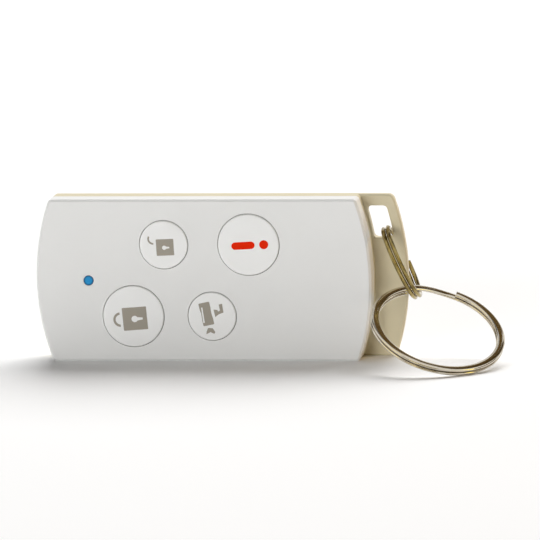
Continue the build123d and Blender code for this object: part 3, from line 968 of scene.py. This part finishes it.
@dataclass
class RingPair:
    """The two linked split rings."""

    small: SplitRing = SplitRing(
        "small", centre=(36.1713, 0.48244, 17.6212), normal=(0.907207, 0.095846, 0.40962),
        start=(0.411514, 0.0, -0.911403), diameter=14.6, wire_width=1.0, wire_thickness=0.8,
        jog_place_deg=95.0, jog_deg=18.0, finish=Finish.AGED_NICKEL)
    large: SplitRing = SplitRing(
        "large", centre=(43.8555, -8.9098, 6.79773), normal=(0.303877, -0.403258, 0.863158),
        start=(-0.519461, 0.689348, 0.504934), diameter=25.0, wire_width=1.5, wire_thickness=0.65,
        jog_place_deg=-19.0, jog_deg=40.0, finish=Finish.NICKEL)

    def build(self, shelf: FinishShelf) -> list[bpy.types.Object]:
        """Wind both rings with one tree.

        Args:
            shelf: The materials.

        Returns:
            The two rings.
        """
        tree = WireTree().build()
        return [self.small.build(tree, shelf), self.large.build(tree, shelf)]


# ---- Pieces that keep their own shape

@dataclass
class Insides:
    """The pieces whose shape from the frame is right: lens, board, cell, contacts, chips and screws."""

    finishes: dict[str, Finish] = field(default_factory=lambda: {
        "led_lens": Finish.LENS, "led": Finish.LIGHT_CHIP, "circuit_board": Finish.BOARD,
        "crystal": Finish.CAN, "loop_antenna": Finish.ANTENNA, "coin_cell": Finish.CELL,
        "battery_contact": Finish.CONTACT, "battery_clip": Finish.CONTACT,
        "microcontroller": Finish.CHIP, "radio_chip": Finish.CHIP, "case_screws": Finish.SCREW})
    keys: tuple[str, ...] = ("arm", "disarm", "home", "panic")

    def dress(self, frame: dict, shelf: FinishShelf) -> None:
        """Give each of these pieces its finish.

        Args:
            frame: The loaded frame.
            shelf: The materials.
        """
        wanted = dict(self.finishes)
        for key in self.keys:
            wanted[f"{key}_switch"] = Finish.SWITCH
            wanted[f"{key}_switch_plunger"] = Finish.PLUNGER
        for node, finish in wanted.items():
            for material_slot in frame["nodes"][node].material_slots:
                material_slot.material = shelf.get(finish)
            LOG.info("dressed %s", node)


# ---- Studio

@dataclass
class PhotoCamera:
    """The camera that matches the photograph."""

    azimuth_deg: float = 9.5
    elevation_deg: float = 9.9
    pixels_per_mm: float = 5.45
    distance: float = 1500.0
    foot: tuple[float, float, float] = (0.0, -4.0, 0.0)
    foot_pixel: Point = (203.25, 361.0)
    pixel_height: float = 15.0
    image_pixels: int = 540
    sensor: float = 36.0
    near_m: float = 0.01
    far_m: float = 20.0

    def build(self) -> None:
        """Place the camera and make it the scene's own.

        The foot is the lower edge's middle. The pixel's x was read pixel_height above it.
        """
        side, rise = radians(self.azimuth_deg), radians(self.elevation_deg)
        right = Vector((cos(side), sin(side), 0))
        up = Vector((-sin(side) * sin(rise), cos(side) * sin(rise), cos(rise)))
        back = Vector((sin(side) * cos(rise), -cos(side) * cos(rise), sin(rise)))
        roll = atan2(sin(side) * sin(rise), cos(side))
        across = right * cos(roll) - up * sin(roll)
        upward = right * sin(roll) + up * cos(roll)
        middle = self.image_pixels / 2
        foot_x = self.foot_pixel[0] - self.pixels_per_mm * self.pixel_height * across.z
        place = (Vector(self.foot) + across * (middle - foot_x) / self.pixels_per_mm
                 + upward * (self.foot_pixel[1] - middle) / self.pixels_per_mm + back * self.distance)
        lens = bpy.data.cameras.new("photo_camera")
        lens.sensor_width = self.sensor
        lens.lens = self.sensor * self.distance * self.pixels_per_mm / self.image_pixels
        lens.clip_start = self.near_m
        lens.clip_end = self.far_m
        made = bpy.data.objects.new("photo_camera", lens)
        turn = Matrix((across, upward, back)).transposed().to_4x4()
        made.matrix_world = Matrix.Translation(place * MM) @ turn
        bpy.context.scene.collection.objects.link(made)
        bpy.context.scene.camera = made


def flat_sheet(name: str, size_m: tuple[float, float], place: Matrix) -> bpy.types.Object:
    """Make a flat sheet of one face.

    Args:
        name: Name of the sheet.
        size_m: Its two sides, in metres.
        place: Where it lies and how it is turned, in metres.

    Returns:
        The sheet, at the origin.
    """
    shape = bmesh.new()
    shape.faces.new([shape.verts.new((size_m[0] / 2 * side, size_m[1] / 2 * end, 0.0))
                     for side, end in ((-1, -1), (1, -1), (1, 1), (-1, 1))])
    shape.transform(place)
    return mesh_object(name, shape)


@dataclass
class Lamp:
    """A soft square lamp aimed at the fob, which polished metal may mirror or not."""

    name: str
    place_m: tuple[float, float, float]
    size_m: float
    power_w: float
    colour: str = WHITE
    mirrored: bool = False

    def build(self, target: Vector) -> None:
        """Hang the lamp and turn it to its target.

        Args:
            target: The place that it lights, in metres.
        """
        lamp = bpy.data.lights.new(self.name, "AREA")
        lamp.shape = "SQUARE"
        lamp.size = self.size_m
        lamp.energy = self.power_w
        lamp.color = srgb(self.colour)[:3]
        made = bpy.data.objects.new(self.name, lamp)
        made.location = self.place_m
        made.visible_glossy = self.mirrored
        made.rotation_euler = (target - Vector(self.place_m)).to_track_quat("-Z", "Y").to_euler()
        bpy.context.scene.collection.objects.link(made)


@dataclass
class Card:
    """A glowing coloured sheet outside the view, which only reflections see: a painted reflection of a room
    in polished metal, lighting nothing.
    """

    name: str
    place_m: tuple[float, float, float]
    size_m: tuple[float, float]
    colour: str
    glow: float = 1.0

    def build(self, target: Vector) -> None:
        """Hang the card, turned to its target, where only reflections see it.

        Args:
            target: The place that it faces, in metres.
        """
        turn = (target - Vector(self.place_m)).to_track_quat("-Z", "Y").to_matrix().to_4x4()
        made = flat_sheet(self.name, self.size_m, Matrix.Translation(Vector(self.place_m)) @ turn)
        # It glows in its own colour, lit by no lamp, so a reflection shows it as one flat tone: a painted
        # reflection.
        reflected_glow, tree = blank_material(f"{self.name}_felt")
        glow = add_node(tree, "ShaderNodeEmission", {"Color": srgb(self.colour), "Strength": self.glow})
        add_node(tree, "ShaderNodeOutputMaterial", {}, {"Surface": glow.outputs["Emission"]})
        dress(made, reflected_glow)
        made.visible_camera = False
        made.visible_diffuse = False
        made.visible_shadow = False
        made.visible_transmission = False


@dataclass
class Studio:
    """Plain pale floor, white surroundings, soft lamps, and glowing cards, seen only in reflections, for the
    rings to mirror.
    """

    floor_size_m: float = 6.0
    floor_colour: str = "#FAFAFA"
    world_level: float = 0.03
    target_m: tuple[float, float, float] = (0.005, 0.0, 0.015)
    lamps: tuple[Lamp, ...] = (
        Lamp("overhead_softbox", (0.3, 1.6, 1.9), size_m=2.3, power_w=92.0),
        Lamp("front_softbox", (-0.45, -1.2, 0.18), size_m=0.7, power_w=10.2),
        Lamp("warm_side_fill", (0.9, 0.12, 0.1), size_m=0.4, power_w=1.9, colour="#FFC868"),
    )
    cards: tuple[Card, ...] = (
        Card("brown_card_above", (0.125, 0.22, 0.4), (0.11, 0.4), "#6A5634"),
        Card("umber_card_above", (0.34, 0.24, 0.42), (0.2, 0.4), "#524328"),
        Card("steel_blue_card_above", (-0.02, 0.19, 0.4), (0.07, 0.4), "#A9B4BF"),
        Card("dark_card_left", (-0.16, 0.1, 0.4), (0.1, 0.4), "#1E1A18"),
        Card("dark_card_low_left", (-0.5, -0.1, 0.12), (0.4, 0.12), "#1E1A18"),
        Card("tan_card_right", (0.62, 0.0, 0.22), (0.5, 0.25), "#55401F"),
        Card("umber_card_front", (0.06, -0.5, 0.24), (0.5, 0.32), "#4A3A1C"),
        Card("gold_strip_front", (0.1, -0.44, 0.2), (0.3, 0.035), "#F2E08A", 3.0),
        Card("gold_strip_upright", (-0.02, -0.44, 0.2), (0.03, 0.3), "#E8D68C", 3.0),
        Card("gold_card_high_left", (-0.21, -0.26, 0.37), (0.3, 0.07), "#F6E27A", 2.5),
        Card("gold_strip_right", (0.44, -0.13, 0.22), (0.06, 0.3), "#F6E27A", 3.0),
        Card("dark_card_front", (0.2, -0.42, 0.045), (0.5, 0.04), "#2A2012"),
    )

    def background(self) -> None:
        """Light the scene faintly from all sides, and show white to the camera and in reflections."""
        world = bpy.data.worlds.new("studio_air")
        world.use_nodes = True
        tree = world.node_tree
        tree.nodes.clear()
        level = add_node(tree, "ShaderNodeMapRange", {"To Min": self.world_level, "To Max": 1.0},
                         {"Value": viewing_rays(tree)})
        air = add_node(tree, "ShaderNodeBackground", {"Color": srgb(WHITE)},
                       {"Strength": level.outputs["Result"]})
        add_node(tree, "ShaderNodeOutputWorld", {}, {"Surface": air.outputs["Background"]})
        bpy.context.scene.world = world

    def floor(self) -> None:
        """Lay a plain floor."""
        made = flat_sheet("studio_floor", (self.floor_size_m, self.floor_size_m), Matrix())
        # White painted board, quite matt. Seen, it is pure white, so that it meets the white air
        # without an edge, and the light that it throws back is a little less.
        paint, tree = blank_material("board_white_painted")
        tint = add_node(tree, "ShaderNodeMix",
                        {"data_type": "RGBA", MIX_A: srgb(self.floor_colour), MIX_B: srgb(WHITE)},
                        {MIX_SHARE: viewing_rays(tree)})
        shader = add_node(tree, "ShaderNodeBsdfDiffuse", {"Roughness": 0.0}, {"Color": tint.outputs[MIX_OUT]})
        add_node(tree, "ShaderNodeOutputMaterial", {}, {"Surface": shader.outputs["BSDF"]})
        dress(made, paint)

    def build(self) -> None:
        """Set up the air, the floor, the lamps and the cards."""
        bpy.context.scene.view_settings.view_transform = "Standard"
        self.background()
        self.floor()
        for item in self.lamps + self.cards:
            item.build(Vector(self.target_m))


def main() -> None:
    """Build the fob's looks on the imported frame, in order."""
    logging.basicConfig(level=logging.INFO, format="%(name)s %(message)s")
    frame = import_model()
    PhotoCamera().build()
    Studio().build()
    shelf = FinishShelf()
    pieces = Covers().build(frame, shelf) + Keypad().build(shelf) + RingPair().build(shelf)
    for piece in pieces:
        LOG.info("built %s with %d faces", piece.name, len(piece.data.polygons))
    Insides().dress(frame, shelf)
    LOG.info("sizes written")


if __name__ == "__main__":
    main()
